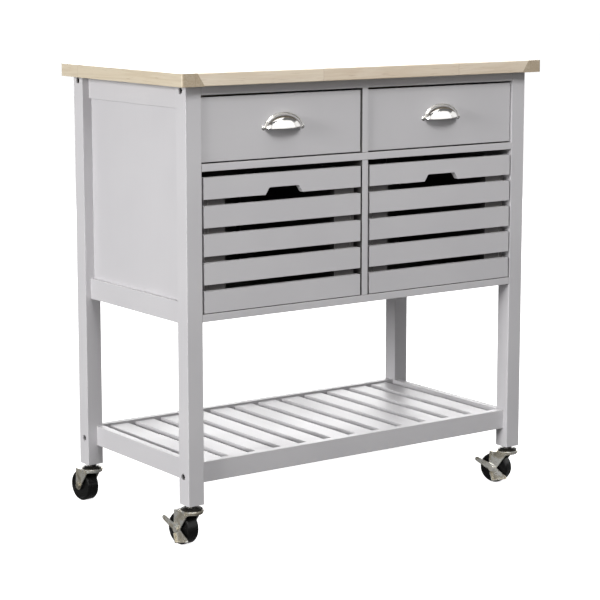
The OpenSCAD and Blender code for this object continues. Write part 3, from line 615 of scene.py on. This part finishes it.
def mark_boards(piece, along=None):
    """Marks each board's tone, grain, rubbed places and end grain, and its faces out of the light for
    painted shade.
    """
    mesh = piece.data
    places = corners_of(mesh)
    label = islands(mesh)
    tone = np.zeros(len(places))
    grain = np.full((len(places), 3), GRAIN_ACROSS)
    axis_of = np.zeros(len(places), int)
    for board in np.unique(label):
        own = label == board
        low, high = places[own].min(0), places[own].max(0)
        axis = int(np.argmax(high - low)) if along is None else along
        grain[own, axis] = GRAIN_LONG
        axis_of[own] = axis
        middle = (low + high) / 2
        wave = math.sin(middle @ TONE_WAVE) * TONE_SCALE
        tone[own] = wave - math.floor(wave)
    flat = np.ones(len(places), bool)
    end = np.zeros(len(mesh.polygons))
    for face in mesh.polygons:
        normal = [abs(n) for n in face.normal]
        if max(normal) > 0.999:
            flat[list(face.vertices)] = False
        if normal[axis_of[face.vertices[0]]] > 0.8:
            end[face.index] = 1.0
    # Faces out of the light are marked for painted shade
    inner = np.array([1.0 if gets_painted_shade(piece, face) else 0.0 for face in mesh.polygons])
    for name, kind, domain, key, values in (
        ("inner", "FLOAT", "FACE", "value", inner),
        ("tone", "FLOAT", "POINT", "value", tone),
        ("grain", "FLOAT_VECTOR", "POINT", "vector", grain.ravel()),
        ("rub", "FLOAT", "POINT", "value", flat.astype(float)),
        ("end", "FLOAT", "FACE", "value", end),
    ):
        mesh.attributes.new(name, kind, domain).data.foreach_set(key, values.astype(np.float32))


SMOOTH_BELOW = math.radians(35)


def hand_over(piece, node):
    """Smooths a finished piece, gives it its finish and puts it in its CAD node's place."""
    take_up(piece)
    bpy.ops.object.shade_smooth_by_angle(angle=SMOOTH_BELOW)
    flatter = piece.modifiers.new("flatter", "WEIGHTED_NORMAL")
    flatter.keep_sharp = True
    bpy.ops.object.modifier_apply(modifier="flatter")
    put_down()
    slot = SLOT_OF[node]
    piece.data.materials.clear()
    piece.data.materials.append(FINISHES[slot])
    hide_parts(node)
    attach(piece, BODY_OF[node])


def board_piece(node, radius, along=None, **choice):
    """A wooden node with its long edges rounded; along is the axis its grain runs on."""
    piece = copy_of(node, node + "_board")
    soften(piece, radius, **choice)
    mark_boards(piece, along)
    hand_over(piece, node)


# ------------------------------------------------------------------- worktop

cap_low, cap_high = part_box("top_end_caps")
TOP_EDGE_R = 1.8 * MM
NEAR_RIM = 5 * MM


def along_slab(middle, direction):
    return abs(direction.x) > 0.99


def round_cap(middle, direction):
    """The cap's outer edges, and not the ones along its joint with the slab."""
    at_end = min(abs(middle.x - cap_low.x), abs(middle.x - cap_high.x)) < NEAR_RIM
    at_side = min(abs(middle.y - cap_low.y), abs(middle.y - cap_high.y)) < NEAR_RIM
    return abs(direction.z) < 0.2 and (at_end or at_side)


board_piece("top_slab", TOP_EDGE_R, only=along_slab, along=0, segments=3)
board_piece("top_end_caps", TOP_EDGE_R, only=round_cap, along=1, shortest=1 * MM, segments=3)

# --------------------------------------------------------------- painted base

for node in (
    "leg_front_left",
    "leg_front_right",
    "leg_back_left",
    "leg_back_right",
    "side_top_rails",
    "side_low_rails",
    "front_top_rail",
    "back_rails",
    "shelf_panel",
    "bottom_panel",
    "drawer_divider",
    "crate_divider",
    "shelf_long_rails",
    "shelf_side_rails",
    "shelf_cleats",
):
    board_piece(node, 1.0 * MM)
for node in ("side_panels", "back_panel", "drawer_runners", "crate_guides", "wood_dowels"):
    board_piece(node, 0.5 * MM)
board_piece("shelf_slats", 2.0 * MM)
for side in ("left", "right"):
    board_piece(f"drawer_{side}_front", 1.6 * MM)
    board_piece(f"drawer_{side}_sides", 1.0 * MM)
    board_piece(f"drawer_{side}_back", 1.0 * MM)
    board_piece(f"drawer_{side}_bottom", 0.5 * MM)
    board_piece(f"crate_{side}_slats", 2.0 * MM)
    board_piece(f"crate_{side}_posts", 1.2 * MM)
    board_piece(f"crate_{side}_sides", 1.0 * MM)
    board_piece(f"crate_{side}_back", 1.0 * MM)
    board_piece(f"crate_{side}_bottom", 0.5 * MM)

# --------------------------------------------------------------------- metal


def metal_piece(node, with_painted_shade=False):
    """A metal or wheel node as it is in the CAD; one that gets painted shade is marked all over."""
    piece = copy_of(node, node + "_metal")
    if with_painted_shade:
        # Painted shade over the whole piece, for the shade under the legs
        grime = piece.data.attributes.new("grime", "FLOAT", "FACE")
        grime.data.foreach_set("value", [1.0] * len(piece.data.polygons))
    hand_over(piece, node)


DOWNWARD = (0, 0, -1)
BACKWARD = (0, 1, 0)
UPRIGHT = (math.radians(90), 0, 0)


def cut_away(point, normal, closed=True):
    """Cuts an open mesh on a plane and drops what lies on the side its normal points to."""
    bpy.ops.mesh.select_all(action="SELECT")
    bpy.ops.mesh.bisect(plane_co=point, plane_no=normal, clear_outer=True, use_fill=closed)


def cut_piece(piece, point, normal):
    open_mesh(piece)
    cut_away(point, normal)
    close_mesh()


def shape_up(name, place, scale):
    """Names and scales the piece just added about its place, and leaves it at the origin."""
    part = bpy.context.active_object
    part.name = name
    part.scale = scale
    part.location = place
    bpy.ops.object.transform_apply(location=True, rotation=True, scale=True)
    return part


PULL_DOME = Vector((42.0, 24.0, 28.0)) * MM
PULL_DOME_WALL = 1.6 * MM
PULL_LIFT = 3.6 * MM
PULL_BEAD = 1.3 * MM
PULL_BEAD_OUT = 2.3 * MM
PULL_PLATE = 1.0 * MM
PULL_EAR_R = 5.0 * MM
PULL_EAR_X = 45.5 * MM
PULL_EAR_T = 1.8 * MM


def cup_dome(middle):
    """A quarter of a hollow egg, open below and behind."""
    put_down()
    bpy.ops.mesh.primitive_uv_sphere_add(segments=64, ring_count=48, radius=1)
    dome = shape_up("cup_dome", middle, PULL_DOME)
    open_mesh(dome)
    cut_away(middle, DOWNWARD, closed=False)
    cut_away(middle, BACKWARD, closed=False)
    close_mesh()
    wall = dome.modifiers.new("wall", "SOLIDIFY")
    wall.thickness = PULL_DOME_WALL
    wall.offset = -1
    bpy.ops.object.modifier_apply(modifier="wall")
    return dome


def cup_bead(middle, wide, tall):
    put_down()
    bpy.ops.mesh.primitive_torus_add(
        major_segments=96,
        minor_segments=16,
        major_radius=1,
        minor_radius=PULL_BEAD / wide,
        rotation=UPRIGHT,
    )
    bpy.ops.object.transform_apply(rotation=True)
    bead = shape_up("cup_bead", middle + Vector((0, -PULL_BEAD, 0)), (wide, wide, tall))
    cut_piece(bead, middle, DOWNWARD)
    return bead


def cup_plate(middle, wide, tall):
    put_down()
    bpy.ops.mesh.primitive_cylinder_add(vertices=96, radius=1, depth=1, rotation=UPRIGHT)
    bpy.ops.object.transform_apply(rotation=True)
    place = middle + Vector((0, -PULL_PLATE / 2, 0))
    plate = shape_up("cup_plate", place, (wide, PULL_PLATE, tall))
    cut_piece(plate, middle, DOWNWARD)
    return plate


def cup_ear(place):
    put_down()
    bpy.ops.mesh.primitive_uv_sphere_add(segments=32, ring_count=16, radius=1)
    ear = shape_up("cup_ear", place, (PULL_EAR_R, PULL_EAR_T, PULL_EAR_R))
    cut_piece(ear, place, BACKWARD)
    return ear


def cup_pull(side):
    """A full cup in front of a thin plate with a bead around it, and an ear at each end."""
    node = f"drawer_{side}_pull"
    low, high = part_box(node)
    middle = Vector(((low[0] + high[0]) / 2, high[1], low[2] + PULL_LIFT))
    wide, tall = PULL_DOME.x + PULL_BEAD_OUT, PULL_DOME.z + PULL_BEAD_OUT
    dome = cup_dome(middle)
    parts = [dome, cup_bead(middle, wide, tall), cup_plate(middle, wide, tall)]
    for way in (-1, 1):
        place = (middle.x + way * PULL_EAR_X, high[1], low[2] + PULL_EAR_R)
        parts.append(cup_ear(place))
    put_down()
    for part in parts:
        part.select_set(True)
    bpy.context.view_layer.objects.active = dome
    bpy.ops.object.join()
    dome.name = node + "_metal"
    hand_over(dome, node)


for node in ("barrel_bolts", "cross_dowels", "top_screws", "caster_nuts"):
    metal_piece(node)
# The caster stems get painted shade all over
metal_piece("caster_stems", with_painted_shade=True)
for side in ("left", "right"):
    cup_pull(side)
    metal_piece(f"drawer_{side}_pull_screws")
    metal_piece(f"brake_lever_{side}")
for corner in ("front_left", "front_right", "back_left", "back_right"):
    metal_piece(f"fork_{corner}")
    metal_piece(f"wheel_{corner}")

# --------------------------------------------------------- floor, light, view

CAMERA_PLACE = (-2.37017, -3.31505, 1.12196)
CAMERA_TURN = -35.54
CAMERA_DOWN = 8.81
FLOOR_SIZE = 60
BACKDROP_R = 28
SKY_STRENGTH = 0.18


def lay_floor():
    put_down()
    bpy.ops.mesh.primitive_plane_add(size=FLOOR_SIZE)
    floor = bpy.context.active_object
    floor.name = "floor"
    floor.data.materials.append(floor_paper())
    floor.visible_diffuse = False
    floor.visible_glossy = False
    put_down()


def hang_backdrop():
    put_down()
    bpy.ops.mesh.primitive_uv_sphere_add(segments=48, ring_count=24, radius=BACKDROP_R)
    dome = bpy.context.active_object
    dome.name = "backdrop"
    dome.data.materials.append(white_card("backdrop_paper", 1.1, 1.15))
    dome.visible_diffuse = False
    dome.visible_glossy = False
    dome.visible_shadow = False
    put_down()


def hang_card(name, place, turn, width, height, low, high):
    """A bright card that only shows as a reflection."""
    put_down()
    facing = (math.radians(90), 0, math.radians(turn))
    bpy.ops.mesh.primitive_plane_add(size=1, location=place, rotation=facing)
    card = bpy.context.active_object
    card.name = name
    card.scale = (width, height, 1)
    bpy.ops.object.transform_apply(location=True, rotation=True, scale=True)
    card.data.materials.append(white_card(name + "_glow", low, high))
    card.visible_camera = False
    card.visible_diffuse = False
    card.visible_shadow = False
    put_down()


def hang_lamp(name, place, aim, width, height, watts):
    lamp = bpy.data.lights.new(name, "AREA")
    lamp.shape = "RECTANGLE"
    lamp.size, lamp.size_y = width, height
    lamp.energy = watts
    holder = bpy.data.objects.new(name, lamp)
    bpy.context.scene.collection.objects.link(holder)
    holder.location = place
    holder.rotation_euler = (Vector(aim) - Vector(place)).to_track_quat("-Z", "Y").to_euler()


def light_the_room():
    world = bpy.data.worlds.new("studio")
    bpy.context.scene.world = world
    world.use_nodes = True
    sky = world.node_tree.nodes["Background"]
    sky.inputs["Color"].default_value = (1.0, 1.0, 1.0, 1.0)
    sky.inputs["Strength"].default_value = SKY_STRENGTH
    hang_lamp("key_lamp", (-6.5, -1.0, 2.0), (0, 0, 0.5), 1.8, 1.8, 375)
    hang_lamp("top_lamp", (-0.2, -0.3, 3.6), (0, 0, 0.6), 2.6, 2.6, 40)
    hang_lamp("front_lamp", (-0.4, -3.4, 3.6), (0, 0, 0.5), 2.2, 1.4, 108)
    hang_lamp("back_lamp", (2.6, 4.2, 1.5), (0, 0, 0.45), 4.0, 2.4, 100)


def set_camera():
    lens = bpy.data.cameras.new("camera")
    lens.lens = 117.95
    lens.sensor_width = 36
    lens.shift_y = -0.06
    lens.clip_end = 100
    holder = bpy.data.objects.new("camera", lens)
    bpy.context.scene.collection.objects.link(holder)
    holder.location = CAMERA_PLACE
    holder.rotation_euler = (math.radians(90 - CAMERA_DOWN), 0, math.radians(CAMERA_TURN))
    bpy.context.scene.camera = holder


lay_floor()
hang_backdrop()
light_the_room()
hang_card("front_card", (1.0, -6.5, 5.0), 0, 17, 8.6, 1.3, 1.6)
hang_card("left_card", (-7.8, -0.3, 3.6), -90, 12, 5.4, 1.1, 1.4)
hang_card("right_card", (8.5, 0.0, 3.0), 90, 11, 4.2, 1.0, 1.3)
hang_card("back_card", (2.5, 7.0, 2.4), 0, 12, 4.8, 1.15, 1.35)
set_camera()
bpy.context.scene.view_settings.view_transform = "Standard"
